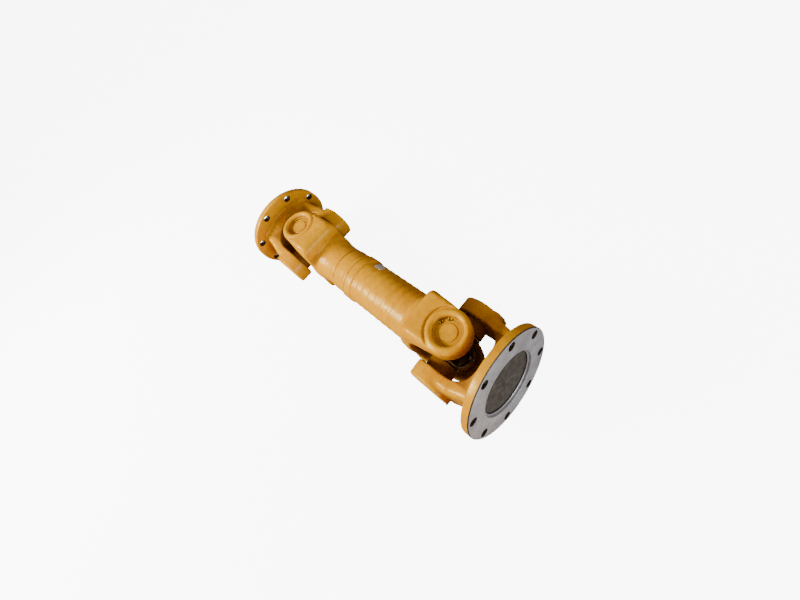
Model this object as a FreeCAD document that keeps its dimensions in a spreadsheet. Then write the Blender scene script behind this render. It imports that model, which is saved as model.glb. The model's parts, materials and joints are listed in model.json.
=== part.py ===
"""Telescopic cardan shaft: two universal joints, a splined sleeve, a spline shaft and two bolt flanges.

The shaft lies along X with the object's base on z = 0, Y to the side. The middle half with the sleeve
is on the -X side, the spline shaft on the +X side. Each yoke is drawn in its own frame: origin at the
joint centre, +X from the joint towards the yoke's root, ear bores along Z. All lengths are in
millimetres."""
import FreeCAD, Part
import math
import os
import Sketcher

DIMENSIONS = {
    # whole shaft
    "joint_spacing": 485,       # between the two joint centres, shaft closed
    "axis_height": 98,          # shaft axis above the surface the ears lie on
    "flange_tilt": 7.42,        # degrees each end flange leans up, so that its rim meets the surface
    # companion flange
    "flange_radius": 112.5,
    "face_offset": 120,         # joint centre to mating face
    "flange_thickness": 16,
    "edge_chamfer": 1,
    "pilot_radius": 67.5,
    "pilot_depth": 5,
    "recess_radius": 64,
    "recess_depth": 9,
    "hub_radius": 70,
    "pitch_radius": 98,
    "bolt_hole_radius": 8.5,
    "bolt_count": 8,
    # fork ears, the same on all four yokes but for the flange yokes' deeper crotch
    "ear_radius": 49,
    "ear_height": 98,           # cast outside of the ear
    "spotface_height": 95.5,
    "spotface_radius": 44,
    "ear_gap": 60,              # half the space between the ears
    "crotch_offset": 70,
    "flange_crotch": 78,
    "crotch_corner": 45,
    "crotch_lip": 54,
    "crotch_lip_length": 10,
    "bore_radius": 29,
    "snap_groove_radius": 31,
    "flange_shoulder": 48,      # where the ear's outside drops to the neck behind it
    "flange_neck_height": 88,
    "flange_root": 100,
    "flange_root_height": 74,
    "shaft_shoulder": 68,       # where the ear's outside starts to slope down to its root
    "shaft_root": 106,
    "shaft_root_height": 58,
    # bearing cups
    "cup_mouth": 38,
    "cup_floor": 77,
    "cup_top": 84,
    "cup_boss_radius": 17,
    "cup_boss_height": 1.5,
    "race_radius": 24,
    "snap_ring_inner": 25.5,
    "snap_ring_thickness": 2.5,
    "snap_ring_gap": 24,        # degrees left open
    "washer_radius": 17,
    "washer_thickness": 2,
    "roller_radius": 2.95,
    "roller_length": 27,
    "roller_start": 46,
    "roller_count": 21,
    "roller_circle": 21,
    "seal_start": 38.5,
    "seal_length": 6,
    "seal_bore": 18.05,
    # cross
    "trunnion_radius": 18,
    "trunnion_end": 74.7,
    "neck_radius": 22,
    "neck_end": 35,
    "heart_radius": 33,
    "drilling_radius": 3,
    "guard_start": 31,
    "guard_length": 4,
    "guard_radius": 30,
    # splined sleeve on the first yoke
    "shoulder_radius": 60,
    "shoulder_start": 80,
    "shoulder_end": 98,
    "sleeve_start": 109,
    "sleeve_radius": 54.5,
    "bead_radius": 57.5,
    "bead_start": 263,
    "bead_ramp": 4,
    "sleeve_end": 290,
    "clear_radius": 47,
    "spline_start": 130,
    "spline_end": 285,
    "minor_radius": 41,
    "major_radius": 46,
    "tooth_half_width": 6,
    "spline_play": 0.05,
    "tooth_root": 36,
    "tooth_count": 10,
    "plug_start": 80,
    "plug_thickness": 3,
    # gland on the sleeve's open end
    "gland_step": 300,
    "gland_end": 332,
    "seal_seat_start": 318,
    "seal_seat_end": 328,
    "seal_seat_radius": 51,
    "wiper_bore": 46.5,
    # spline shaft on the second yoke
    "far_shoulder_radius": 57,
    "far_shoulder_end": 96,
    "far_neck_start": 126,
    "far_neck_radius": 53.5,
    "far_neck_end": 151,
    "tooth_start": 153,
    "tooth_end": 345,
    "shaft_end": 350,
    # label plate and grease nipples
    "label_start": 234,
    "label_length": 21,
    "label_thickness": 0.3,
    "label_glue": 0.06,
    "label_sweep": 22,          # degrees round the sleeve
    "label_turn": 127,          # degrees from +Y to its first edge
    "nipple_base_radius": 5.5,
    "nipple_base_height": 5,
    "nipple_head_radius": 3.3,
    "nipple_height": 12,
    "cross_nipple_root": 26,
    "sleeve_nipple_offset": 215,
    "sleeve_nipple_root": 48,
}

doc = FreeCAD.newDocument("CardanShaft")
sheet = doc.addObject("Spreadsheet::Sheet", "dims")
for row, (name, number) in enumerate(DIMENSIONS.items(), start=1):
    sheet.set(f"A{row}", name)
    sheet.set(f"B{row}", str(number))
    sheet.setAlias(f"B{row}", name)
doc.recompute()

ORIGIN_POINT = (-1, 1)
SIGNS = ("+", "-")
FULL_TURN = 360.0
SHAFT_EAR_OUTSIDE = [("shaft_shoulder", "ear_height"), ("shaft_root", "shaft_root_height")]
PARTS = []


# ---- sizes from the sheet ------------------------------------------------------------------------
def value(words):
    """Number for a sum of sheet names such as "ear_radius + edge_chamfer"."""
    total = 0.0
    sign = 1.0
    for word in words.split():
        if word in SIGNS:
            sign = 1.0 if word == "+" else -1.0
        else:
            total += sign * float(sheet.get(word))
            sign = 1.0
    return total


def formula(words):
    """The same sum as a FreeCAD expression."""
    return " ".join(word if word in SIGNS else "dims." + word for word in words.split())


# ---- PartDesign helpers --------------------------------------------------------------------------
def new_body(label):
    body = doc.addObject("PartDesign::Body", label)
    body.Label = label
    return body


def origin_feature(body, role):
    for feature in body.Origin.OriginFeatures:
        if feature.Role == role:
            return feature
    raise ValueError(role)


def new_sketch(body, name, plane, lift=None):
    """Sketch on one of the body's own planes, raised along the plane's normal by a sheet sum."""
    sketch = body.newObject("Sketcher::SketchObject", name)
    sketch.AttachmentSupport = [(origin_feature(body, plane), "")]
    sketch.MapMode = "FlatFace"
    if lift:
        sketch.setExpression("AttachmentOffset.Base.z", formula(lift))
    return sketch


def pin_point(sketch, edge, end, place):
    """Hold one end of an edge at a place given by two sheet sums; None is zero."""
    for kind, words in zip(("DistanceX", "DistanceY"), place):
        length = value(words) if words else 0.0
        index = sketch.addConstraint(Sketcher.Constraint(kind, *ORIGIN_POINT, edge, end, length))
        if words:
            sketch.setExpression(f"Constraints[{index}]", formula(words))


def numeric(place):
    return FreeCAD.Vector(*(value(words) if words else 0.0 for words in place), 0)


def arc_between(start, end, radius, hand):
    """Arc from start to end, bulging to the right of travel for hand 1 and to the left for hand -1."""
    chord = end - start
    middle = (start + end) / 2
    across = FreeCAD.Vector(chord.y, -chord.x, 0).normalize() * hand
    rise = math.sqrt(max(radius ** 2 - (chord.Length / 2) ** 2, 0.0))
    centre = middle - across * rise
    crown = centre + across * radius
    return Part.Arc(start, crown, end)


def closed_outline(sketch, corners):
    """Closed outline through corners (x, y) or (x, y, radius, hand), those two for an arc onward."""
    count = len(corners)
    for number, corner in enumerate(corners):
        start = numeric(corner[:2])
        end = numeric(corners[(number + 1) % count][:2])
        if len(corner) > 2:
            sketch.addGeometry(arc_between(start, end, value(corner[2]), corner[3]))
        else:
            sketch.addGeometry(Part.LineSegment(start, end))
    # An arc drawn clockwise is stored turned round, so its two ends swap.
    firsts = [2 if len(corner) > 2 and corner[3] < 0 else 1 for corner in corners]
    for number, corner in enumerate(corners):
        follower = (number + 1) % count
        last = 3 - firsts[number]
        sketch.addConstraint(Sketcher.Constraint("Coincident", number, last, follower, firsts[follower]))
        pin_point(sketch, number, firsts[number], corner[:2])
        if len(corner) > 2:
            radius = sketch.addConstraint(Sketcher.Constraint("Radius", number, value(corner[2])))
            sketch.setExpression(f"Constraints[{radius}]", formula(corner[2]))


def circle(sketch, centre, radius):
    middle = numeric(centre)
    sketch.addGeometry(Part.Circle(middle, FreeCAD.Vector(0, 0, 1), value(radius)))
    pin_point(sketch, 0, 3, centre)
    index = sketch.addConstraint(Sketcher.Constraint("Radius", 0, value(radius)))
    sketch.setExpression(f"Constraints[{index}]", formula(radius))


def revolve(body, name, corners, kind="Revolution", plane="XY_Plane", axis="H_Axis", sweep=None):
    sketch = new_sketch(body, name + "_outline", plane)
    closed_outline(sketch, corners)
    feature = body.newObject("PartDesign::" + kind, name)
    feature.Profile = sketch
    feature.ReferenceAxis = (sketch, [axis])
    feature.Angle = FULL_TURN
    if sweep:
        feature.setExpression("Angle", formula(sweep))
    return feature


def extrude(body, name, kind, sketch, length, both_ways=False):
    feature = body.newObject("PartDesign::" + kind, name)
    feature.Profile = sketch
    feature.setExpression("Length", formula(length))
    if both_ways:
        feature.SideType = "Symmetric"
    return feature


def around_x(body, name, feature, count):
    """Repeat a feature round the body's X axis."""
    doc.recompute()
    pattern = body.newObject("PartDesign::PolarPattern", name)
    pattern.Originals = [feature]
    pattern.Axis = (origin_feature(body, "X_Axis"), [""])
    pattern.Angle = FULL_TURN
    pattern.setExpression("Occurrences", formula(count))
    body.Tip = pattern
    return pattern


def keep(label, item, placement):
    item.Label = label
    item.Placement = placement
    PARTS.append(item)
    return item


# ---- places --------------------------------------------------------------------------------------
def near_centre():
    return FreeCAD.Vector(-value("joint_spacing") / 2, 0, value("axis_height"))


def far_centre():
    return FreeCAD.Vector(value("joint_spacing") / 2, 0, value("axis_height"))


def yoke_frame(centre, root_direction, ear_direction):
    side = ear_direction.cross(root_direction)
    return FreeCAD.Placement(centre, FreeCAD.Rotation(root_direction, side, ear_direction, "XYZ"))


def yoke_frames():
    """Frame of each of the four yokes."""
    lean = math.radians(value("flange_tilt"))
    side = FreeCAD.Vector(0, 1, 0)
    up = FreeCAD.Vector(0, 0, 1)
    along = FreeCAD.Vector(1, 0, 0)
    near_out = FreeCAD.Vector(-math.cos(lean), 0, math.sin(lean))
    far_out = FreeCAD.Vector(math.cos(lean), 0, math.sin(lean))
    return {
        "near_flange": yoke_frame(near_centre(), near_out, side),
        "near_sleeve": yoke_frame(near_centre(), along, up),
        "far_shaft": yoke_frame(far_centre(), -along, up),
        "far_flange": yoke_frame(far_centre(), far_out, -side),
    }


def ear_frames(frame):
    """Frame of each ear of a yoke: +Z outwards along its bore."""
    turned = FreeCAD.Placement(FreeCAD.Vector(), FreeCAD.Rotation(FreeCAD.Vector(1, 0, 0), 180))
    return frame, frame * turned


# ---- yokes ---------------------------------------------------------------------------------------
def add_fork(body, crotch, outside):
    """Two ears joined round a U-shaped crotch; outside is the ear's back, from tip to root."""
    side_view = new_sketch(body, "fork_side_view", "XZ_Plane")
    inner_turn = crotch + " - crotch_corner"
    inner_rise = "ear_gap - crotch_corner"
    below = "- ear_gap + crotch_corner"
    closed_outline(side_view, [
        ("- ear_radius", "ear_gap"),
        (inner_turn, "ear_gap", "crotch_corner", -1),
        (crotch, inner_rise),
        (crotch, below, "crotch_corner", -1),
        (inner_turn, "- ear_gap"),
        ("- ear_radius", "- ear_gap"),
        ("- ear_radius", "- ear_height"),
    ] + [(along, "- " + height) for along, height in outside] + outside[::-1] + [
        ("- ear_radius", "ear_height"),
    ])
    extrude(body, "fork", "Pad", side_view, "ear_radius + ear_radius", both_ways=True)

    plan_view = new_sketch(body, "ear_end_waste", "XY_Plane")
    closed_outline(plan_view, [
        (None, "ear_radius", "ear_radius", 1),
        ("- ear_radius", None, "ear_radius", 1),
        (None, "- ear_radius"),
        (None, "- ear_gap"),
        ("- ear_gap", "- ear_gap"),
        ("- ear_gap", "ear_gap"),
        (None, "ear_gap"),
    ])
    extrude(body, "ear_ends", "Pocket", plan_view, "ear_height + ear_height + ear_height", both_ways=True)


def add_ear_bores(body):
    """Bearing bores, the spotfaces round them and the grooves for the snap rings."""
    profile = [
        ("- ear_height - ear_height", "bore_radius"),
        ("- ear_height - ear_height", None),
        ("ear_height + ear_height", None),
        ("ear_height + ear_height", "spotface_radius"),
        ("spotface_height", "spotface_radius"),
        ("spotface_height", "bore_radius"),
        ("cup_top + snap_ring_thickness", "bore_radius"),
        ("cup_top + snap_ring_thickness", "snap_groove_radius"),
        ("cup_top", "snap_groove_radius"),
        ("cup_top", "bore_radius"),
        ("- cup_top", "bore_radius"),
        ("- cup_top", "snap_groove_radius"),
        ("- cup_top - snap_ring_thickness", "snap_groove_radius"),
        ("- cup_top - snap_ring_thickness", "bore_radius"),
        ("- spotface_height", "bore_radius"),
        ("- spotface_height", "spotface_radius"),
        ("- ear_height - ear_height", "spotface_radius"),
    ]
    across = [(radius, height) for height, radius in profile[1:]]
    revolve(body, "ear_bores", across, "Groove", "XZ_Plane", "V_Axis")


def flange_yoke(label, frame):
    body = new_body(label)
    add_fork(body, "flange_crotch", [
        ("flange_shoulder", "ear_height"),
        ("flange_shoulder", "flange_neck_height"),
        ("flange_root", "flange_root_height"),
    ])
    hub_lip = "flange_crotch + crotch_lip_length"
    back = "face_offset - flange_thickness"
    revolve(body, "flange", [
        ("flange_crotch", None),
        ("flange_crotch", "crotch_lip"),
        (hub_lip, "hub_radius"),
        (back, "hub_radius"),
        (back, "flange_radius - edge_chamfer"),
        (back + " + edge_chamfer", "flange_radius"),
        ("face_offset - edge_chamfer", "flange_radius"),
        ("face_offset", "flange_radius - edge_chamfer"),
        ("face_offset", "pilot_radius"),
        ("face_offset - pilot_depth", "pilot_radius"),
        ("face_offset - pilot_depth", "recess_radius"),
        ("face_offset - recess_depth", "recess_radius"),
        ("face_offset - recess_depth", None),
    ])
    doc.recompute()
    add_ear_bores(body)
    doc.recompute()
    add_bolt_holes(body)
    return keep(label, body, frame)


def add_bolt_holes(body):
    """Holes on the pitch circle, set half a step away from the ears."""
    drill = new_sketch(body, "bolt_hole", "YZ_Plane", "face_offset + edge_chamfer")
    half_step = math.pi / value("bolt_count")
    pitch = value("pitch_radius")
    across = pitch * math.sin(half_step)
    along = pitch * math.cos(half_step)
    drill.addGeometry(Part.Circle(FreeCAD.Vector(across, along, 0), FreeCAD.Vector(0, 0, 1), 1.0))
    angle = "(180 deg / dims.bolt_count)"
    for kind, number, trig in (("DistanceX", across, "sin"), ("DistanceY", along, "cos")):
        index = drill.addConstraint(Sketcher.Constraint(kind, *ORIGIN_POINT, 0, 3, number))
        drill.setExpression(f"Constraints[{index}]", f"dims.pitch_radius * {trig}{angle}")
    index = drill.addConstraint(Sketcher.Constraint("Radius", 0, value("bolt_hole_radius")))
    drill.setExpression(f"Constraints[{index}]", formula("bolt_hole_radius"))
    hole = extrude(body, "bolt_bore", "Pocket", drill, "flange_thickness + edge_chamfer + edge_chamfer")
    around_x(body, "bolt_circle", hole, "bolt_count")


def add_teeth(body, name, kind, start, length, half_width, top):
    """Straight-sided spline teeth, or the slots for them, running along X."""
    sketch = new_sketch(body, name + "_section", "YZ_Plane", start)
    closed_outline(sketch, [
        ("- " + half_width.replace("+", "-"), "tooth_root"),
        (half_width, "tooth_root"),
        (half_width, top),
        ("- " + half_width.replace("+", "-"), top),
    ])
    tooth = extrude(body, name, kind, sketch, length)
    around_x(body, name + "_ring", tooth, "tooth_count")


def sleeve_yoke(label, frame):
    """Yoke forged in one with the tube that holds the internal spline."""
    body = new_body(label)
    add_fork(body, "crotch_offset", SHAFT_EAR_OUTSIDE)
    revolve(body, "sleeve", [
        ("crotch_offset", None),
        ("crotch_offset", "crotch_lip"),
        ("shoulder_start", "shoulder_radius"),
        ("shoulder_end", "shoulder_radius"),
        ("sleeve_start", "sleeve_radius"),
        ("bead_start", "sleeve_radius"),
        ("bead_start + bead_ramp", "bead_radius"),
        ("sleeve_end", "bead_radius"),
        ("sleeve_end", None),
    ])
    doc.recompute()
    slot_floor = "minor_radius + spline_play"
    revolve(body, "sleeve_bore", [
        ("crotch_offset - crotch_lip_length", None),
        ("sleeve_end + crotch_lip_length", None),
        ("sleeve_end + crotch_lip_length", "clear_radius"),
        ("spline_end", "clear_radius"),
        ("spline_end", slot_floor),
        ("spline_start", slot_floor),
        ("spline_start", "clear_radius"),
        ("crotch_offset - crotch_lip_length", "clear_radius"),
    ], "Groove")
    doc.recompute()
    add_ear_bores(body)
    doc.recompute()
    slot_half = "tooth_half_width + spline_play"
    slot_top = "major_radius + spline_play"
    add_teeth(body, "slot", "Pocket", "spline_end", "spline_end - spline_start", slot_half, slot_top)
    add_nipple_port(body)
    return keep(label, body, frame)


def add_nipple_port(body):
    """Radial drilling for the sleeve's grease nipple, on the underside between the ears."""
    port = new_sketch(body, "nipple_port", "XY_Plane", "- sleeve_radius - crotch_lip_length")
    circle(port, ("sleeve_nipple_offset", None), "drilling_radius")
    depth = "sleeve_radius - sleeve_nipple_root + crotch_lip_length"
    hole = extrude(body, "nipple_bore", "Pocket", port, depth)
    hole.Reversed = True


def shaft_yoke(label, frame):
    """Yoke forged in one with the external spline."""
    body = new_body(label)
    add_fork(body, "crotch_offset", SHAFT_EAR_OUTSIDE)
    revolve(body, "shaft", [
        ("crotch_offset", None),
        ("crotch_offset", "crotch_lip"),
        ("shoulder_start", "far_shoulder_radius"),
        ("far_shoulder_end", "far_shoulder_radius"),
        ("far_neck_start", "far_neck_radius"),
        ("far_neck_end", "far_neck_radius"),
        ("far_neck_end", "minor_radius"),
        ("tooth_end", "minor_radius"),
        ("shaft_end", "tooth_root"),
        ("shaft_end", None),
    ])
    doc.recompute()
    add_ear_bores(body)
    doc.recompute()
    length = "tooth_end - tooth_start"
    add_teeth(body, "tooth", "Pad", "tooth_start", length, "tooth_half_width", "major_radius")
    return keep(label, body, frame)


# ---- bearings ------------------------------------------------------------------------------------
def ring(label, inner, outer, start, end, sweep=None):
    """Ring, disc or open ring round Z; no inner radius makes a disc."""
    body = new_body(label)
    corners = [(inner, start), (outer, start), (outer, end), (inner, end)]
    revolve(body, "section", corners, "Revolution", "XZ_Plane", "V_Axis", sweep)
    return body


def bearing_cup(label, place):
    body = new_body(label)
    revolve(body, "cup", [
        ("race_radius", "cup_mouth"),
        ("bore_radius", "cup_mouth"),
        ("bore_radius", "cup_top"),
        ("cup_boss_radius", "cup_top"),
        ("cup_boss_radius", "cup_top + cup_boss_height"),
        (None, "cup_top + cup_boss_height"),
        (None, "cup_floor"),
        ("race_radius", "cup_floor"),
    ], "Revolution", "XZ_Plane", "V_Axis")
    return keep(label, body, place)


def group(label, members):
    """Several identical pieces in one node."""
    compound = doc.addObject("Part::Compound", label)
    compound.Links = members
    return keep(label, compound, FreeCAD.Placement())


def rollers(label, place):
    members = []
    count = int(value("roller_count"))
    for number in range(count):
        roller = doc.addObject("Part::Cylinder", label)
        roller.setExpression("Radius", formula("roller_radius"))
        roller.setExpression("Height", formula("roller_length"))
        angle = 2 * math.pi * number / count
        reach = value("roller_circle")
        spot = FreeCAD.Vector(reach * math.cos(angle), reach * math.sin(angle), value("roller_start"))
        roller.Placement = place * FreeCAD.Placement(spot, FreeCAD.Rotation())
        members.append(roller)
    return members


def placed(body, place):
    body.Placement = place
    return body


def snap_ring(label, place):
    half_gap = FreeCAD.Rotation(FreeCAD.Vector(0, 0, 1), value("snap_ring_gap") / 2)
    body = ring(label, "snap_ring_inner", "snap_groove_radius", "cup_top", "cup_top + snap_ring_thickness")
    body.Tip.setExpression("Angle", "360 - dims.snap_ring_gap")
    return placed(body, place * FreeCAD.Placement(FreeCAD.Vector(), half_gap))


def seal(label, place):
    body = ring(label, "seal_bore", "race_radius", "seal_start", "seal_start + seal_length")
    return placed(body, place)


def thrust_washer(label, place):
    body = ring(label, None, "washer_radius", "cup_floor - washer_thickness", "cup_floor")
    return placed(body, place)


def yoke_bearings(yoke, frame, ear_words):
    """Cups, rollers, seals, washers and snap rings of one yoke."""
    places = ear_frames(frame)
    for word, place in zip(ear_words, places):
        bearing_cup(f"{yoke}_cup_{word}", place)
    group(f"{yoke}_rollers", [piece for place in places for piece in rollers("roller", place)])
    for plural, maker in (("snap_rings", snap_ring), ("seals", seal), ("thrust_washers", thrust_washer)):
        pieces = [maker(f"{yoke}_{plural}_{word}", place) for word, place in zip(ear_words, places)]
        group(f"{yoke}_{plural}", pieces)


# ---- crosses -------------------------------------------------------------------------------------
def bar(radius, half_length):
    """Cylinder centred on the joint, from two sheet sums."""
    cylinder = doc.addObject("Part::Cylinder", "bar")
    cylinder.setExpression("Radius", formula(radius))
    cylinder.setExpression("Height", "2 * (" + formula(half_length) + ")")
    return cylinder


def along_both_axes(radius, half_length):
    """One bar on the cross's Z axis and one on its Y axis."""
    upright = bar(radius, half_length)
    flat = bar(radius, half_length)
    reach = value(half_length)
    upright.Placement = FreeCAD.Placement(FreeCAD.Vector(0, 0, -reach), FreeCAD.Rotation())
    onto_side = FreeCAD.Rotation(FreeCAD.Vector(1, 0, 0), 90)
    flat.Placement = FreeCAD.Placement(FreeCAD.Vector(0, reach, 0), onto_side)
    return [upright, flat]


def facing(spot, direction):
    """Place a turned piece at a spot with its +Z along a direction."""
    return FreeCAD.Placement(spot, FreeCAD.Rotation(FreeCAD.Vector(0, 0, 1), direction))


def cross(label, centre, outward):
    heart = doc.addObject("Part::Sphere", "heart")
    heart.setExpression("Radius", formula("heart_radius"))
    solid = doc.addObject("Part::MultiFuse", "cross_solid")
    trunnions = along_both_axes("trunnion_radius", "trunnion_end")
    solid.Shapes = [heart] + trunnions + along_both_axes("neck_radius", "neck_end")
    drillings = doc.addObject("Part::MultiFuse", "drillings")
    port = doc.addObject("Part::Cylinder", "port")
    port.setExpression("Radius", formula("drilling_radius"))
    port.setExpression("Height", formula("heart_radius + edge_chamfer"))
    port.Placement = facing(FreeCAD.Vector(), outward)
    drillings.Shapes = along_both_axes("drilling_radius", "trunnion_end + edge_chamfer") + [port]
    drilled = doc.addObject("Part::Cut", label)
    drilled.Base = solid
    drilled.Tool = drillings
    return keep(label, drilled, FreeCAD.Placement(centre, FreeCAD.Rotation()))


def seal_guards(label, centre):
    """Pressed rings on the four necks that cover the cups' mouths."""
    members = []
    axis = FreeCAD.Vector(1, 0, 0)
    for quarter in range(4):
        guard = ring(f"{label}_{quarter}", "neck_radius", "guard_radius", "guard_start",
                     "guard_start + guard_length")
        members.append(placed(guard, FreeCAD.Placement(centre, FreeCAD.Rotation(axis, 90 * quarter))))
    return group(label, members)


def nipple(label, place, root, seat):
    """Grease nipple from the depth of its thread to its head."""
    body = new_body(label)
    revolve(body, "turned", [
        (None, root),
        ("drilling_radius", root),
        ("drilling_radius", seat),
        ("nipple_base_radius", seat),
        ("nipple_base_radius", seat + " + nipple_base_height"),
        ("nipple_head_radius", seat + " + nipple_base_height"),
        ("nipple_head_radius", seat + " + nipple_height"),
        (None, seat + " + nipple_height"),
    ], "Revolution", "XZ_Plane", "V_Axis")
    return keep(label, body, place)


# ---- sleeve fittings -----------------------------------------------------------------------------
def turned_round_x(label, corners, frame):
    body = new_body(label)
    revolve(body, "turned", corners)
    return keep(label, body, frame)


def gland_cap(label, frame):
    return turned_round_x(label, [
        ("sleeve_end", "clear_radius"),
        ("sleeve_end", "bead_radius"),
        ("gland_step - bead_ramp", "bead_radius"),
        ("gland_step", "sleeve_radius"),
        ("gland_end", "sleeve_radius"),
        ("gland_end", "clear_radius"),
        ("seal_seat_end", "clear_radius"),
        ("seal_seat_end", "seal_seat_radius"),
        ("seal_seat_start", "seal_seat_radius"),
        ("seal_seat_start", "clear_radius"),
    ], frame)


def wiper_seal(label, frame):
    return turned_round_x(label, [
        ("seal_seat_start", "wiper_bore"),
        ("seal_seat_start", "seal_seat_radius"),
        ("seal_seat_end", "seal_seat_radius"),
        ("seal_seat_end", "wiper_bore"),
    ], frame)


def sleeve_plug(label, frame):
    return turned_round_x(label, [
        ("plug_start", None),
        ("plug_start", "clear_radius"),
        ("plug_start + plug_thickness", "clear_radius"),
        ("plug_start + plug_thickness", None),
    ], frame)


def label_plate(label, frame):
    """Thin blank plate wrapped on the sleeve."""
    body = new_body(label)
    revolve(body, "plate", [
        ("label_start", "sleeve_radius + label_glue"),
        ("label_start", "sleeve_radius + label_thickness"),
        ("label_start + label_length", "sleeve_radius + label_thickness"),
        ("label_start + label_length", "sleeve_radius + label_glue"),
    ], sweep="label_sweep")
    turn = FreeCAD.Rotation(FreeCAD.Vector(1, 0, 0), value("label_turn"))
    return keep(label, body, frame * FreeCAD.Placement(FreeCAD.Vector(), turn))


# ---- assembly ------------------------------------------------------------------------------------
def build():
    frames = yoke_frames()
    sleeve_frame = frames["near_sleeve"]
    flange_yoke("near_flange_yoke", frames["near_flange"])
    sleeve_yoke("sleeve_yoke", sleeve_frame)
    shaft_yoke("spline_shaft_yoke", frames["far_shaft"])
    flange_yoke("far_flange_yoke", frames["far_flange"])

    yoke_bearings("near_flange", frames["near_flange"], ("left", "right"))
    yoke_bearings("near_sleeve", sleeve_frame, ("upper", "lower"))
    yoke_bearings("far_shaft", frames["far_shaft"], ("upper", "lower"))
    yoke_bearings("far_flange", frames["far_flange"], ("right", "left"))

    along = FreeCAD.Vector(1, 0, 0)
    for end, centre, outward in (("near", near_centre(), -along), ("far", far_centre(), along)):
        cross(f"{end}_cross", centre, outward)
        seal_guards(f"{end}_cross_seal_guards", centre)
        nipple(f"{end}_cross_grease_nipple", facing(centre, outward), "cross_nipple_root", "heart_radius")

    gland_cap("gland_cap", sleeve_frame)
    wiper_seal("wiper_seal", sleeve_frame)
    sleeve_plug("sleeve_end_plug", sleeve_frame)
    label_plate("blank_label", sleeve_frame)
    nipple_spot = sleeve_frame.multVec(FreeCAD.Vector(value("sleeve_nipple_offset"), 0, 0))
    nipple("sleeve_grease_nipple", facing(nipple_spot, FreeCAD.Vector(0, 0, -1)), "sleeve_nipple_root",
           "sleeve_radius")


def check():
    """Stop on any failed feature or bad solid."""
    for item in doc.Objects:
        if "Invalid" in item.State or "Error" in item.State:
            raise RuntimeError(f"{item.Label}: {item.State}")
    for item in PARTS:
        if item.Shape.isNull() or not item.Shape.isValid():
            raise RuntimeError(f"{item.Label}: bad shape")


def export():
    os.makedirs("parts", exist_ok=True)
    for item in PARTS:
        item.Shape.exportStep(f"parts/{item.Label}.step")


build()
doc.recompute()
check()
export()
for item in PARTS:
    box = item.Shape.BoundBox
    print(f"{item.Label:32s} {len(item.Shape.Solids):3d} solids {item.Shape.Volume / 1000:9.2f} cm3 "
          f"z {box.ZMin:7.2f} to {box.ZMax:7.2f}")
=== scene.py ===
"""Looks of the telescopic cardan shaft: painted forgings, machined flange faces, bearings and splines.

Each forging is sculpted as a distance field in its yoke's own frame, in millimetres, and meshed. That frame
has its origin at the joint centre, +X towards the yoke's root and the ear bores along Z. Turned pieces are
lathed from their outlines.
"""
import json
import math

import bmesh
import bpy
import numpy as np
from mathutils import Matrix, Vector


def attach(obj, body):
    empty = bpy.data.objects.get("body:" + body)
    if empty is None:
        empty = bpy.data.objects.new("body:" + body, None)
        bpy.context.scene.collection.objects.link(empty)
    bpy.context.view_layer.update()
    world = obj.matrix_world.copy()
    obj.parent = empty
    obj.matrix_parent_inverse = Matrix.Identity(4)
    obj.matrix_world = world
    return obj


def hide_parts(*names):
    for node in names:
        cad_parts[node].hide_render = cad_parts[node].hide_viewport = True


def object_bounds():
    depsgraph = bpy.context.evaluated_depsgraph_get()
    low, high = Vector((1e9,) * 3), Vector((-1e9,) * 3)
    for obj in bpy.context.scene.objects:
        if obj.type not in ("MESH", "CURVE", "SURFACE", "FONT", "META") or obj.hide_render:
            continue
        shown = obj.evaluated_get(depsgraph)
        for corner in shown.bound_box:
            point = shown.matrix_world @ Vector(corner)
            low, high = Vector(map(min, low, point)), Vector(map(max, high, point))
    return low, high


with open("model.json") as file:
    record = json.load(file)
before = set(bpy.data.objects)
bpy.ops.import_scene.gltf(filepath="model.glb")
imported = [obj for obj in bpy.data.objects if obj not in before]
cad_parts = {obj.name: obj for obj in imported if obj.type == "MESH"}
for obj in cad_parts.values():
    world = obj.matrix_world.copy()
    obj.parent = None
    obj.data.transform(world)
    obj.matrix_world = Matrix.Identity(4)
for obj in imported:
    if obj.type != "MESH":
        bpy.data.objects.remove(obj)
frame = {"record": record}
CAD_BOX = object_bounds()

import openvdb
from mathutils import Matrix, Vector

MM = 0.001
RECORD = frame["record"]
MOUNTS = {mount["name"]: mount for mount in RECORD["mounts"]}
JOINTS = {joint["name"]: joint for joint in RECORD["behaviour"]["joints"]}

# ---- sizes, in millimetres -----------------------------------------------------------------------
NEAR = Vector(JOINTS["near_cross_hinge"]["pos_m"])
FAR = Vector(JOINTS["far_cross_hinge"]["pos_m"])
BOLTS = MOUNTS["near_flange_bolts"]
PILOT = MOUNTS["near_pilot_bore"]
FACE_OFFSET = (Vector(BOLTS["pos_m"]) - NEAR).length / MM
PITCH_RADIUS = BOLTS["dims"]["pcd_mm"] / 2
BOLT_COUNT = BOLTS["dims"]["count"]
BOLT_HOLE_RADIUS = BOLTS["dims"]["hole_r_mm"]
PILOT_RADIUS = PILOT["dims"]["r_mm"]
PILOT_DEPTH = PILOT["dims"]["length_mm"]
FLANGE_RADIUS = (CAD_BOX[1][1] - CAD_BOX[0][1]) / 2 / MM
FLANGE_THICKNESS = 16.0
RECESS_RADIUS = 64.0
RECESS_DEPTH = 9.0
HUB_RADIUS = 70.0

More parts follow.
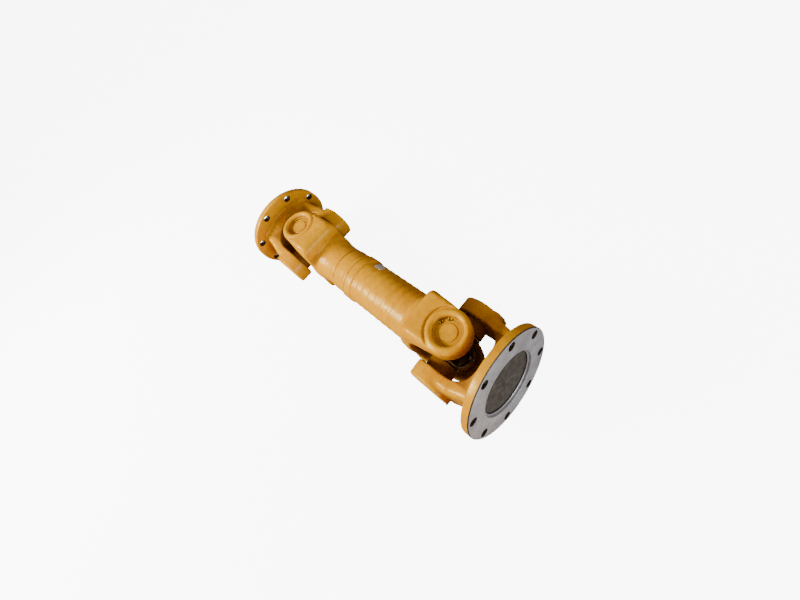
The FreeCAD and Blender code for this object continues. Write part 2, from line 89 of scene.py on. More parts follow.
EAR_RADIUS = 49.0
EAR_HEIGHT = 98.0
FLANGE_EAR_RISE = 2.5            # how much higher the flange yokes' bosses stand
TIP_RADIUS = 46.0
TIP_SHIFT = 3.0
DISH_RADIUS = 47.0               # worn outer edge of the spotface
DISH_HEIGHT = 93.2               # bottom of the spotface's valley
CREST_RADIUS = 36.5              # ring between the valley and the bore
CREST_RISE = 3.6
EAR_GAP = 60.0
CROTCH = 70.0
CROTCH_CORNER = 45.0
ROOT_END = 86.0                  # where the ears run out into the round base
FLANGE_CROTCH = 78.0
BORE_RADIUS = 29.0
CUP_TOP = 84.0
CUP_MOUTH = 38.0
CUP_FLOOR = 77.0
RACE_RADIUS = 24.0
SNAP_THICKNESS = 2.5
GROOVE_RADIUS = 31.0

SLEEVE_RADIUS = 54.5
SLEEVE_END = 290.0
BEAD_RADIUS = 57.5
RIPPLE_HEIGHT = 0.4              # shallow waves along the tube
RIPPLE_PITCH = 20.0
GLAND_END = 332.0
CLEAR_RADIUS = 47.0
MINOR_RADIUS = 41.0
MAJOR_RADIUS = 46.0
TOOTH_HALF_WIDTH = 6.0
TOOTH_COUNT = 10
PLAY = 0.05
SPLINE_RUN = (130.0, 285.0)      # inside the sleeve
TOOTH_RUN = (153.0, 345.0)       # on the shaft
NECK_END = 151.0
NECK_RADIUS = 53.5
SHAFT_TIP = 350.0

VOXEL = 1.5

# ---- places --------------------------------------------------------------------------------------
def yoke_matrix(centre, root, ear):
    """World place of a yoke's own frame, in metres."""
    side = ear.cross(root)
    turn = Matrix((root, side, ear)).transposed().to_4x4()
    return Matrix.Translation(centre) @ turn


UP = Vector((0, 0, 1))
ALONG = Vector((1, 0, 0))
SIDE = Vector((0, 1, 0))
YOKES = {
    "near_flange": yoke_matrix(NEAR, Vector(PILOT["axis"]), SIDE),
    "near_sleeve": yoke_matrix(NEAR, ALONG, UP),
    "far_shaft": yoke_matrix(FAR, -ALONG, UP),
    "far_flange": yoke_matrix(FAR, Vector(MOUNTS["far_pilot_bore"]["axis"]), -SIDE),
}
YOKE_BODY = {
    "near_flange": "near_flange",
    "near_sleeve": "sleeve",
    "far_shaft": "shaft",
    "far_flange": "far_flange",
}
EAR_WORDS = {
    "near_flange": ("left", "right"),
    "near_sleeve": ("upper", "lower"),
    "far_shaft": ("upper", "lower"),
    "far_flange": ("right", "left"),
}
HALF_TURN = Matrix.Rotation(math.pi, 4, "X")


# ---- mesh helpers --------------------------------------------------------------------------------
CREASE = math.radians(38)


def new_piece(name, points, faces, place, body, nodes, slot, materials, face_slots=None):
    """Object from points in millimetres of its own frame, riding on a body in place of some CAD nodes."""
    mesh = bpy.data.meshes.new(name)
    own = np.asarray(points, float) * MM
    turn = np.array(place)
    mesh.from_pydata((own @ turn[:3, :3].T + turn[:3, 3]).tolist(), [], faces)
    for material in materials:
        mesh.materials.append(material)
    if face_slots is not None:
        mesh.polygons.foreach_set("material_index", face_slots)
    mesh.polygons.foreach_set("use_smooth", [True] * len(mesh.polygons))
    mesh.attributes.new("own_place", "FLOAT_VECTOR", "POINT").data.foreach_set("vector", own.ravel())
    mesh.validate()
    mesh.set_sharp_from_angle(angle=CREASE)
    piece = bpy.data.objects.new(name, mesh)
    bpy.context.collection.objects.link(piece)
    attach(piece, body)
    if nodes:
        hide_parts(*nodes)
    return piece


def softened(outline, radius=0.6, steps=3, closed=True):
    """Outline with its corners rounded; a corner given as (u, v, r) has a radius of its own."""
    corners = [(corner[0], corner[1], corner[2] if len(corner) > 2 else radius) for corner in outline]
    count = len(corners)
    result = []
    for number, (u, v, size) in enumerate(corners):
        here = Vector((u, v))
        if not closed and number in (0, count - 1) or size <= 0:
            result.append((u, v))
            continue
        before = Vector(corners[number - 1][:2]) - here
        after = Vector(corners[(number + 1) % count][:2]) - here
        reach = min(size, before.length * 0.45, after.length * 0.45)
        start = here + before.normalized() * reach
        end = here + after.normalized() * reach
        for step in range(steps + 1):
            part = step / steps
            low = start.lerp(here, part)
            high = here.lerp(end, part)
            spot = low.lerp(high, part)
            result.append((spot.x, spot.y))
    return result


def lathe(outline, segments=96, axis="X"):
    """Points and faces of a closed outline (along, radius) turned about an axis."""
    count = len(outline)
    points = []
    for number in range(segments):
        angle = 2 * math.pi * number / segments
        for along, radius in outline:
            across = radius * math.cos(angle), radius * math.sin(angle)
            points.append((along, *across) if axis == "X" else (*across, along))
    faces = []
    for number in range(segments):
        follower = (number + 1) % segments
        for corner in range(count):
            other = (corner + 1) % count
            faces.append((number * count + corner, number * count + other,
                          follower * count + other, follower * count + corner))
    return weld(points, faces)


def weld(points, faces):
    """Merge the points that meet on the axis, drop flat faces and turn every face outwards."""
    shape = bmesh.new()
    for point in points:
        shape.verts.new(point)
    shape.verts.ensure_lookup_table()
    for face in faces:
        try:
            shape.faces.new([shape.verts[number] for number in face])
        except ValueError:
            pass
    bmesh.ops.remove_doubles(shape, verts=shape.verts, dist=1e-4)
    bmesh.ops.dissolve_degenerate(shape, edges=shape.edges, dist=1e-5)
    bmesh.ops.recalc_face_normals(shape, faces=shape.faces)
    shape.verts.ensure_lookup_table()
    welded = [tuple(vert.co) for vert in shape.verts]
    loops = [[vert.index for vert in face.verts] for face in shape.faces]
    shape.free()
    return welded, loops


def moved(points, place):
    return [tuple(place @ Vector(point)) for point in points]


def together(*shapes):
    """One list of points and faces from several."""
    points = []
    faces = []
    for more_points, more_faces in shapes:
        shift = len(points)
        points.extend(more_points)
        faces.extend([[number + shift for number in face] for face in more_faces])
    return points, faces


def prism(section, start, end, bevel=0.8):
    """Closed section (y, z) drawn out along X with bevelled ends."""
    shrunk = 1 - bevel / max(math.hypot(*spot) for spot in section)
    stations = ((start, shrunk), (start + bevel, 1.0), (end - bevel, 1.0), (end, shrunk))
    count = len(section)
    points = [(x, y * scale, z * scale) for x, scale in stations for y, z in section]
    faces = [list(range(count)), list(range(3 * count, 4 * count))]
    for ring in range(3):
        for number in range(count):
            follower = (number + 1) % count
            faces.append([ring * count + number, ring * count + follower,
                          (ring + 1) * count + follower, (ring + 1) * count + number])
    return weld(points, faces)


# ---- distance fields -----------------------------------------------------------------------------
class Block:
    """Voxels over a box of a yoke's frame."""

    def __init__(self, low, high, step=VOXEL):
        self.low = np.array(low, np.float32)
        self.step = step
        axes = [np.arange(a, b + step, step, dtype=np.float32) for a, b in zip(low, high)]
        self.x = axes[0][:, None, None]
        self.y = axes[1][None, :, None]
        self.z = axes[2][None, None, :]
        self.shape = tuple(len(axis) for axis in axes)

    def mesh(self, field):
        """Points and quads of the surface where the field is zero, faces outwards."""
        band = 3 * self.step
        solid = np.broadcast_to(field, self.shape).astype(np.float32)
        grid = openvdb.FloatGrid(background=band)
        grid.copyFromArray(np.ascontiguousarray(np.clip(solid, -band, band)))
        points, quads = grid.convertToQuads(isovalue=0.0)
        points = points * self.step + self.low
        quads = quads.astype(int)
        a, b, c, d = (points[quads[:, k]] for k in range(4))
        volume = np.einsum("ij,ij->i", a, np.cross(b, c) + np.cross(c, d)).sum()
        if volume < 0:
            quads = quads[:, ::-1]
        return points.tolist(), quads.tolist()


def join(a, b, soft):
    """Union with a fillet about soft wide."""
    near = np.maximum(soft - np.abs(a - b), 0) / soft
    return np.minimum(a, b) - near * near * soft / 4


def cut(a, b, soft):
    return -join(-a, b, soft)


def common(a, b, soft):
    return -join(-a, -b, soft)


def curve(x, corners, soft):
    """Smoothed polyline height at x and the cosine of its slope."""
    along = np.array([corner[0] for corner in corners], float)
    height = np.array([corner[1] for corner in corners], float)
    flat = x.ravel()
    offsets = np.linspace(-soft, soft, 13)
    weights = np.cos(offsets / (soft or 1) * math.pi / 2) + 1e-3
    values = sum(np.interp(flat + offset, along, height) * weight
                 for offset, weight in zip(offsets, weights))
    values /= weights.sum()
    lean = 1 / np.sqrt(1 + np.gradient(values, flat) ** 2)
    shape = (-1, 1, 1)
    return values.reshape(shape).astype(np.float32), lean.reshape(shape).astype(np.float32)


def turned(block, corners, soft):
    """Field of a solid of revolution about X."""
    radius, lean = curve(block.x, corners, soft)
    return (np.hypot(block.y, block.z) - radius) * lean


def rise(value, low, high):
    """Smooth step from 0 at low to 1 at high."""
    part = np.clip((value - low) / (high - low), 0, 1)
    return part * part * (3 - 2 * part)


def forging_waves(block, size):
    """Slow unevenness of a forged and thickly painted skin."""
    x, y, z = block.x, block.y, block.z
    slow = np.sin(x / 13 + 1.3 * np.sin(y / 19)) * np.sin(y / 15 + z / 31) * np.cos(z / 17 + x / 29)
    quick = np.sin(x / 5.3 + y / 7.1) * np.sin(y / 4.7 - z / 8.3) * np.sin(z / 5.9 + x / 9.7)
    return (slow * 0.7 + quick * 0.3) * size


def fork_gap(block, crotch=CROTCH):
    """Inside of the U between the ears."""
    past_x = np.maximum(block.x - (crotch - CROTCH_CORNER), 0)
    past_z = np.maximum(np.abs(block.z) - (EAR_GAP - CROTCH_CORNER), 0)
    return np.hypot(past_x, past_z) - CROTCH_CORNER


def drilled_ears(block, solid):
    """Bearing bores, and round each a worn spotface with a crest ring inside its valley."""
    reach = np.hypot(block.x, block.y)
    tall = np.abs(block.z)
    floor = DISH_HEIGHT + CREST_RISE * np.exp(-((reach - CREST_RADIUS) / 5.5) ** 2)
    solid = cut(solid, np.maximum(reach - DISH_RADIUS, (floor - tall) * 0.85), 1.6)
    return cut(solid, np.maximum(reach - BORE_RADIUS, CUP_MOUTH - tall), 3.5)


def shaft_fork(block, base, widest, back):
    """Ears that run into a round base: the two yokes of the shaft itself."""
    x, y, tall = block.x, np.abs(block.y), np.abs(block.z)
    flare, _ = curve(x, [(0, TIP_RADIUS), (34, 51), (72, widest), (110, widest)], 8)
    straight = TIP_RADIUS + (EAR_RADIUS - TIP_RADIUS) * rise(x, TIP_SHIFT, 45)
    width = straight + (flare - straight) * rise(-tall, -95, -66)
    plan = np.where(x < TIP_SHIFT, np.hypot(x - TIP_SHIFT, y) - TIP_RADIUS, y - width)
    height, lean = curve(x, back, 13)
    ears = common(plan, (tall - height) * lean, 13)
    ears = common(ears, x - ROOT_END, 12)
    ears = cut(ears, fork_gap(block), 7)
    base = common(base, CROTCH + 0.4 - x, 9)
    solid = join(ears, base, 11)
    solid = cut(solid, fork_gap(block), 5)
    solid = solid + forging_waves(block, 0.35)
    return drilled_ears(block, np.maximum(solid, tall - EAR_HEIGHT))


def sleeve_forging():
    """Fork and tube of the sleeve, with the raised bead at its open end."""
    block = Block((-52, -66, -100.5), (SLEEVE_END + 3, 66, 100.5))
    outline = [(60, 55), (72, 57), (82, 60), (98, 60), (109, SLEEVE_RADIUS), (266, SLEEVE_RADIUS),
               (271, BEAD_RADIUS), (SLEEVE_END + 9, BEAD_RADIUS)]
    base = turned(block, outline, 2.5)
    base = base + 0.5 * np.exp(-((block.x - 267) / 1.8) ** 2)
    wave = RIPPLE_HEIGHT * np.cos(2 * math.pi * (block.x - 127) / RIPPLE_PITCH)
    base = base - wave * rise(block.x, 118, 135) * rise(-block.x, -262, -250)
    back = [(-60, EAR_HEIGHT), (66, EAR_HEIGHT), (84, 89), (101, 70), (116, 52), (140, 40)]
    solid = shaft_fork(block, base, 56.5, back)
    solid = common(solid, block.x - SLEEVE_END, 1.6)
    hollow = np.hypot(block.y, block.z) - CLEAR_RADIUS
    return block.mesh(cut(solid, hollow, 3))


def shaft_forging():
    """Fork and painted neck of the spline shaft."""
    block = Block((-52, -66, -100.5), (NECK_END + 3, 66, 100.5))
    outline = [(60, 54), (72, 55), (82, 56.5), (92, 56.5), (108, 53.5), (124, NECK_RADIUS - 1),
               (NECK_END + 9, NECK_RADIUS)]
    back = [(-60, EAR_HEIGHT), (63, EAR_HEIGHT), (82, 88), (98, 70), (112, 54), (140, 40)]
    solid = shaft_fork(block, turned(block, outline, 5), 55, back)
    return block.mesh(common(solid, block.x - NECK_END, 2))


def flange_forging():
    """Ears, necks and hub of a flange yoke, with the fillets that run out on the back of its flange."""
    block = Block((-52, -92, -100.5), (112, 92, 100.5))
    x, y, tall = block.x, np.abs(block.y), np.abs(block.z)
    reach = np.hypot(x, y)
    radius = np.hypot(block.y, block.z)
    narrow = TIP_RADIUS - 4
    plan = np.where(x < 0, reach - narrow, y - narrow - 6 * rise(x, 52, 96))
    height, lean = curve(x, [(-60, 86), (48, 86), (60, 82), (82, 76), (120, 73)], 5)
    neck = common(plan, (tall - height) * lean, 14)
    boss = common(np.hypot(x - TIP_SHIFT, y) - TIP_RADIUS, tall - EAR_HEIGHT - FLANGE_EAR_RISE, 7)
    boss = np.maximum(boss, EAR_GAP - tall)
    ears = cut(join(neck, boss, 3.5), fork_gap(block, FLANGE_CROTCH), 7)
    hub = turned(block, [(60, 52), (78, 57), (90, 66), (97, HUB_RADIUS), (120, HUB_RADIUS)], 4)
    hub = common(hub, FLANGE_CROTCH + 0.4 - x, 9)
    back_face = FACE_OFFSET - FLANGE_THICKNESS
    skirt = np.maximum(back_face + 0.35 - x, radius - 87)
    solid = join(join(ears, hub, 13), skirt, 9)
    solid = cut(solid, fork_gap(block, FLANGE_CROTCH), 5) + forging_waves(block, 0.35)
    past_recess = x - (FACE_OFFSET - RECESS_DEPTH - 2)
    solid = np.maximum(solid, np.maximum(tall - EAR_HEIGHT - FLANGE_EAR_RISE, past_recess))
    return block.mesh(drilled_ears(block, solid))


def cross_heart():
    """Forged middle of a cross, between its four trunnions."""
    block = Block((-38, -40, -40), (38, 40, 40), 1.0)
    heart = np.sqrt(block.x ** 2 + block.y ** 2 + block.z ** 2) - 31.5
    upright = np.hypot(block.x, block.y) - 22
    flat = np.hypot(block.x, block.z) - 22
    solid = join(join(heart, upright, 12), flat, 12)
    solid = np.maximum(solid, np.maximum(np.abs(block.z), np.abs(block.y)) - 35)
    solid = common(solid, np.abs(block.x) - 30, 6)
    return block.mesh(solid)


# ---- materials -----------------------------------------------------------------------------------
class Recipe:
    """Node tree of one material, with its Principled shader."""

    def __init__(self, name, **sockets):
        self.material = bpy.data.materials.new(name)
        self.material.use_nodes = True
        self.tree = self.material.node_tree
        self.shader = self.tree.nodes["Principled BSDF"]
        self.place = self.node("ShaderNodeTexCoord").outputs["Object"]
        self.plug(self.shader, sockets)

    def plug(self, node, sockets):
        for name, value in sockets.items():
            socket = node.inputs[name.replace("_", " ")]
            if isinstance(value, bpy.types.NodeSocket):
                self.tree.links.new(value, socket)
            else:
                socket.default_value = value

    def node(self, kind, settings=None, **sockets):
        node = self.tree.nodes.new(kind)
        for name, value in (settings or {}).items():
            setattr(node, name, value)
        self.plug(node, sockets)
        return node

    def noise(self, scale, detail=4.0, roughness=0.55, distortion=0.0):
        return self.node("ShaderNodeTexNoise", Vector=self.place, Scale=scale, Detail=detail,
                         Roughness=roughness, Distortion=distortion).outputs["Fac"]

    def steps(self, value, *stops):
        """Colour or grey ramp with (place, colour) stops."""
        node = self.node("ShaderNodeValToRGB", Fac=value)
        ramp = node.color_ramp
        while len(ramp.elements) < len(stops):
            ramp.elements.new(0.5)
        for element, (place, colour) in zip(ramp.elements, stops):
            element.position = place
            element.color = (*colour, 1) if isinstance(colour, tuple) else (colour, colour, colour, 1)
        return node.outputs["Color"]

    def blend(self, amount, low, high, mode="MIX"):
        node = self.node("ShaderNodeMix", {"data_type": "RGBA", "blend_type": mode})
        inputs = [socket for socket in node.inputs if socket.type == "RGBA"]
        for socket, value in ((node.inputs[0], amount), (inputs[0], low), (inputs[1], high)):
            if isinstance(value, bpy.types.NodeSocket):
                self.tree.links.new(value, socket)
            else:
                socket.default_value = (*value, 1) if isinstance(value, tuple) else value
        return next(socket for socket in node.outputs if socket.type == "RGBA")

    def bump(self, height, distance, strength=1.0, under=None):
        sockets = {"Height": height, "Distance": distance, "Strength": strength}
        if under is not None:
            sockets["Normal"] = under
        return self.node("ShaderNodeBump", **sockets).outputs["Normal"]

    def crevice(self, distance):
        return self.node("ShaderNodeAmbientOcclusion", {"samples": 6}, Distance=distance).outputs["AO"]

    def painted_fork_shade(self):
        """Strength of the painted shade on the inside of a joint's forks, blotched by noise."""
        own = self.node("ShaderNodeAttribute", {"attribute_name": "own_place"}).outputs["Vector"]
        axes = self.node("ShaderNodeSeparateXYZ", Vector=own).outputs
        amount = self.steps(self.noise(48, 5, 0.6), (0.3, 0.6), (0.6, 0.97))
        for axis, clear, full in (("X", 0.094, 0.08), ("Y", 0.056, 0.044), ("Z", 0.063, 0.056)):
            away = self.node("ShaderNodeMath", {"operation": "ABSOLUTE"}, Value=axes[axis])
            inside = self.node("ShaderNodeMapRange", {"interpolation_type": "SMOOTHSTEP"},
                               Value=away.outputs["Value"], From_Min=clear, From_Max=full)
            amount = self.blend(1.0, amount, inside.outputs["Result"], "MULTIPLY")
        return amount

    def edges(self):
        return self.node("ShaderNodeNewGeometry").outputs["Pointiness"]


def glossy_paint():
    """Thick golden machine enamel over rough forgings, with painted shade in its hollows and inside its forks
    and a painted highlight on its edges.
    """
    recipe = Recipe("golden_enamel", Coat_Weight=0.12, Coat_Roughness=0.12, IOR=1.45,
                    Specular_Tint=(1.0, 0.72, 0.22, 1))
    broad = recipe.noise(14, 3)
    patchy = recipe.noise(55, 5, 0.62, distortion=0.4)
    colour = recipe.blend(recipe.steps(broad, (0.3, 0.0), (0.72, 1.0)), (0.84, 0.365, 0.0), (0.95, 0.47, 0.0))
    colour = recipe.blend(recipe.steps(patchy, (0.44, 0.0), (0.74, 0.65)), colour, (0.68, 0.25, 0.0))
    # painted highlight: convex edges, found by pointiness, are painted a lighter yellow
    worn = recipe.steps(recipe.edges(), (0.525, 0.0), (0.6, 0.5))
    colour = recipe.blend(worn, colour, (1.0, 0.62, 0.03))
    # painted shade: the hollows, found by ambient occlusion and blotched by noise, are darkened towards a
    # near-black brown
    hollow = recipe.blend(1.0, recipe.steps(recipe.crevice(0.1), (0.25, 1.0), (0.78, 0.0)),
                          recipe.steps(recipe.noise(120, 6, 0.6), (0.3, 0.55), (0.62, 1.0)), "MULTIPLY")
    colour = recipe.blend(hollow, colour, (0.12, 0.03, 0.002))
    # painted shade: a dark brown laid on the inside of the forks, where the ears shade the crotch
    colour = recipe.blend(recipe.painted_fork_shade(), colour, (0.26, 0.092, 0.01))
    specks = recipe.steps(recipe.noise(420, 2, 0.5), (0.7, 0.0), (0.76, 0.7))
    colour = recipe.blend(specks, colour, (0.2, 0.09, 0.02))
    rough = recipe.steps(recipe.noise(38, 6, 0.65), (0.3, 0.2), (0.7, 0.42))
    rough = recipe.blend(hollow, rough, (0.62, 0.62, 0.62))
    cast = recipe.bump(recipe.noise(70, 4, 0.55), 0.0022, 0.4)
    peel = recipe.bump(recipe.noise(620, 2, 0.4), 0.00018, 0.5, cast)
    recipe.plug(recipe.shader, {"Base_Color": colour, "Roughness": rough, "Normal": peel})
    return recipe.material


def turned_steel():
    """Facing cuts in rings round the axis, a thin haze of rust and faint temper colours."""
    recipe = Recipe("turned_steel", Metallic=0.75)
    own = recipe.node("ShaderNodeAttribute", {"attribute_name": "own_place"}).outputs["Vector"]
    rings = recipe.node("ShaderNodeTexWave", {"wave_type": "RINGS", "rings_direction": "X"}, Vector=own,
                        Scale=420.0, Distortion=0.6, Detail=2.0).outputs["Fac"]
    stain = recipe.noise(26, 6, 0.6, distortion=0.6)
    colour = recipe.blend(recipe.steps(stain, (0.36, 0.0), (0.66, 1.0)), (0.56, 0.57, 0.6), (0.8, 0.82, 0.86))
    tint = recipe.steps(recipe.noise(17, 4, 0.5), (0.5, 0.0), (0.72, 0.45))
    colour = recipe.blend(tint, colour, (0.5, 0.43, 0.5))
    rust = recipe.steps(recipe.noise(75, 8, 0.7), (0.57, 0.0), (0.72, 0.7))
    colour = recipe.blend(rust, colour, (0.3, 0.17, 0.09))
    # painted shade: small corners, found by ambient occlusion, are darkened to a dark brown
    painted_crevice_shade = recipe.steps(recipe.crevice(0.008), (0.4, 0.8), (0.95, 0.0))
    colour = recipe.blend(painted_crevice_shade, colour, (0.09, 0.05, 0.03))
    rough = recipe.blend(rings, (0.34, 0.34, 0.34), (0.46, 0.46, 0.46))
    rough = recipe.blend(rust, rough, (0.75, 0.75, 0.75))
    cuts = recipe.bump(rings, 0.00006, 0.6)
    recipe.plug(recipe.shader, {"Base_Color": colour, "Roughness": rough, "Normal": cuts})
    return recipe.material


def stained_metal(name, light, dark, metallic, low, high, grain, depth):
    """Dull metal with stains, painted shade in its corners, a painted highlight on its edges and a grain of
    its own.
    """
    recipe = Recipe(name, Metallic=metallic)
    stain = recipe.steps(recipe.noise(grain / 4, 6, 0.62, distortion=0.5), (0.34, 0.0), (0.68, 1.0))
    colour = recipe.blend(stain, dark, light)
    # painted shade: corners, found by ambient occlusion, are darkened to a near-black brown
    painted_corner_shade = recipe.steps(recipe.crevice(0.012), (0.35, 0.85), (0.9, 0.0))
    colour = recipe.blend(painted_corner_shade, colour, (0.025, 0.016, 0.01))
    # painted highlight: convex edges, found by pointiness, are painted lighter
    painted_edge_highlight = recipe.steps(recipe.edges(), (0.53, 0.0), (0.64, 0.5))
    colour = recipe.blend(painted_edge_highlight, colour, tuple(min(1.0, part * 1.7) for part in light))
    rough = recipe.steps(recipe.noise(grain / 2, 5, 0.6), (0.3, low), (0.7, high))
    skin = recipe.bump(recipe.noise(grain, 5, 0.6), depth, 0.5)
    recipe.plug(recipe.shader, {"Base_Color": colour, "Roughness": rough, "Normal": skin})
    return recipe.material


def pale_film():
    """Blank label film, a little yellowed and scuffed."""
    recipe = Recipe("blank_film", Coat_Weight=0.3, Coat_Roughness=0.12)
    scuff = recipe.steps(recipe.noise(210, 6, 0.65), (0.45, 0.0), (0.7, 0.6))
    colour = recipe.blend(scuff, (0.78, 0.8, 0.86), (0.62, 0.45, 0.42))
    rough = recipe.steps(recipe.noise(90, 4), (0.3, 0.28), (0.7, 0.5))
    recipe.plug(recipe.shader, {"Base_Color": colour, "Roughness": rough,
                                "Normal": recipe.bump(recipe.noise(160, 3), 0.0002, 0.4)})
    return recipe.material


def floor_finish():
    """Pale matt floor that throws little light back up under the shaft."""
    recipe = Recipe("pale_floor", Roughness=0.9)
    recipe.shader.inputs["Specular IOR Level"].default_value = 0.1
    seen = recipe.node("ShaderNodeLightPath").outputs["Is Camera Ray"]
    mottle = recipe.steps(recipe.noise(1.2, 3), (0.3, (0.68, 0.7, 0.72)), (0.7, (0.74, 0.76, 0.78)))
    glow = recipe.node("ShaderNodeMapRange", Value=seen, To_Max=8.0).outputs["Result"]
    recipe.plug(recipe.shader, {"Base_Color": recipe.blend(seen, (0.2, 0.13, 0.07), mottle),
                                "Emission_Color": (1, 1, 1, 1), "Emission_Strength": glow})
    return recipe.material


PAINT = glossy_paint()
FACED = turned_steel()
RAW_FORGING = stained_metal(
    "raw_forging", (0.1, 0.082, 0.066), (0.035, 0.028, 0.023), 0.3, 0.5, 0.8, 420, 0.0008)
HOLE_STEEL = stained_metal(
    "hole_steel", (0.07, 0.045, 0.022), (0.02, 0.012, 0.007), 0.2, 0.4, 0.7, 500, 0.0003)
OILY_STEEL = stained_metal(
    "oily_steel", (0.1, 0.075, 0.06), (0.025, 0.018, 0.014), 0.7, 0.22, 0.5, 300, 0.0003)
SPLINE_STEEL = stained_metal(
    "greased_spline_steel", (0.3, 0.28, 0.26), (0.1, 0.085, 0.07), 0.85, 0.18, 0.42, 380, 0.0001)
BRIGHT_STEEL = stained_metal(
    "ground_steel", (0.55, 0.55, 0.56), (0.3, 0.29, 0.28), 0.95, 0.15, 0.35, 700, 0.00004)
GUARD_STEEL = stained_metal(
    "pressed_guard_steel", (0.5, 0.46, 0.4), (0.2, 0.16, 0.12), 0.8, 0.25, 0.5, 420, 0.0001)
RUBBER = stained_metal(
    "seal_rubber_black", (0.035, 0.033, 0.031), (0.015, 0.014, 0.013), 0.0, 0.45, 0.75, 900, 0.0001)
WASHER = stained_metal(
    "washer_nylon", (0.62, 0.56, 0.42), (0.4, 0.34, 0.22), 0.0, 0.35, 0.6, 500, 0.0001)
ZINC = stained_metal(
    "zinc_plate", (0.62, 0.56, 0.36), (0.36, 0.3, 0.15), 0.9, 0.22, 0.42, 800, 0.00005)
FILM = pale_film()


# ---- the four yokes ------------------------------------------------------------------------------
def drill(points, faces, cutters):
    """Shape with other closed shapes cut out of it."""
    solid = temporary("solid", points, faces)
    for cutter_points, cutter_faces in cutters:
        tool = temporary("cutter", cutter_points, cutter_faces)
        modifier = solid.modifiers.new("cut", "BOOLEAN")
        modifier.object = tool
        modifier.solver = "EXACT"
    bpy.context.view_layer.update()
    ready = solid.evaluated_get(bpy.context.evaluated_depsgraph_get()).to_mesh()
    new_points = [tuple(vert.co) for vert in ready.vertices]
    new_faces = [list(face.vertices) for face in ready.polygons]
    for modifier in list(solid.modifiers):
        bpy.data.objects.remove(modifier.object, do_unlink=True)
    bpy.data.objects.remove(solid, do_unlink=True)
    return new_points, new_faces


def temporary(name, points, faces):
    """Plain object that lives only while a shape is drilled."""
    mesh = bpy.data.meshes.new(name)
    mesh.from_pydata(points, [], faces)
    thing = bpy.data.objects.new(name, mesh)
    bpy.context.collection.objects.link(thing)
    return thing


def flange_disc():
    """Bolt flange with its chamfers, pilot bore, recess and bolt holes."""
    face = FACE_OFFSET
    back = face - FLANGE_THICKNESS
    rim = FLANGE_RADIUS - 0.2
    outline = [(back, 0), (back, 50), (back, 86), (back, rim, 1.4),
               (face - 1.5, rim, 0.3), (face, rim - 1.5, 0.2), (face, PILOT_RADIUS, 0.5),
               (face - PILOT_DEPTH, PILOT_RADIUS, 0.7), (face - PILOT_DEPTH, RECESS_RADIUS, 0.6),
               (face - RECESS_DEPTH, RECESS_RADIUS, 1.5), (face - RECESS_DEPTH - 0.4, 40),
               (face - RECESS_DEPTH, 0)]
    points, faces = lathe(softened(outline), 192)
    size = BOLT_HOLE_RADIUS
    hole = softened([(back - 2, 0, 0), (back - 2, size + 2.6, 0), (back + 0.6, size, 0.1),
                     (face - 0.6, size, 0.1), (face + 2, size + 2.6, 0), (face + 2, 0, 0)])
    cutters = []
    for number in range(BOLT_COUNT):
        angle = 2 * math.pi * (number + 0.5) / BOLT_COUNT
        side = Vector((0, PITCH_RADIUS * math.cos(angle), PITCH_RADIUS * math.sin(angle)))
        cutter_points, cutter_faces = lathe(hole, 48)
        cutters.append((moved(cutter_points, Matrix.Translation(side)), cutter_faces))
    return drill(points, faces, cutters)


def disc_slots(points, faces):
    """Material of each face of the flange disc: 0 paint, 1 faced, 2 raw forging, 3 hole, also on the front
    chamfer as a painted dark reflection.
    """
    slots = []
    for loop in faces:
        corners = [Vector(points[number]) for number in loop]
        centre = sum(corners, Vector()) / len(corners)
        radius = math.hypot(centre.y, centre.z)
        lowest = min(corner.x for corner in corners)
        on_pitch = abs(radius - PITCH_RADIUS) < BOLT_HOLE_RADIUS + 3
        if on_pitch and all(abs(bolt_distance(corner) - BOLT_HOLE_RADIUS) < 0.7 for corner in corners):
            slots.append(3)
        # painted reflection: the narrow front chamfer gets the dark hole steel, so the face's rim reads as a
        # dark line
        elif radius > FLANGE_RADIUS - 1.8 and lowest > FACE_OFFSET - 1.9:
            slots.append(3)
        elif radius < FLANGE_RADIUS - 0.4 and lowest > FACE_OFFSET - PILOT_DEPTH - 1.3:
            slots.append(1)
        elif radius < RECESS_RADIUS + 1 and centre.x > FACE_OFFSET - RECESS_DEPTH - 0.8:
            slots.append(2)
        else:
            slots.append(0)
    return slots


def bolt_distance(point):
    """From a point to the nearest bolt hole's axis."""
    pitch = 2 * math.pi / BOLT_COUNT
    angle = math.atan2(point.z, point.y)
    off = (angle / pitch) % 1 * pitch - pitch / 2
    radius = math.hypot(point.y, point.z)
    return math.hypot(radius * math.cos(off) - PITCH_RADIUS, radius * math.sin(off))


def spline_section(core, tip, half_width, count=TOOTH_COUNT, steps=4):
    """Closed outline (y, z) of straight-sided teeth."""
    section = []
    top = math.asin(half_width / tip)
    foot = math.asin(half_width / core)
    pitch = 2 * math.pi / count
    for number in range(count):
        middle = number * pitch
        for step in range(steps + 1):
            angle = middle - top + 2 * top * step / steps
            section.append((tip * math.cos(angle), tip * math.sin(angle)))
        for step in range(steps + 1):
            angle = middle + foot + (pitch - 2 * foot) * step / steps
            section.append((core * math.cos(angle), core * math.sin(angle)))
    return section


def internal_spline():
    """Broached ring that lines the sleeve."""
    inner = spline_section(MINOR_RADIUS + PLAY, MAJOR_RADIUS + PLAY, TOOTH_HALF_WIDTH + PLAY)
    outer = [(y * (CLEAR_RADIUS + 0.6) / math.hypot(y, z), z * (CLEAR_RADIUS + 0.6) / math.hypot(y, z))
             for y, z in inner]
    start, end = SPLINE_RUN
    loops = [(start, inner), (end, inner), (end, outer), (start, outer)]
    count = len(inner)
    points = [(x, y, z) for x, loop in loops for y, z in loop]
    faces = []
    for ring in range(4):
        following = (ring + 1) % 4
        for number in range(count):
            follower = (number + 1) % count
            faces.append([ring * count + number, ring * count + follower,
                          following * count + follower, following * count + number])
    return weld(points, faces)


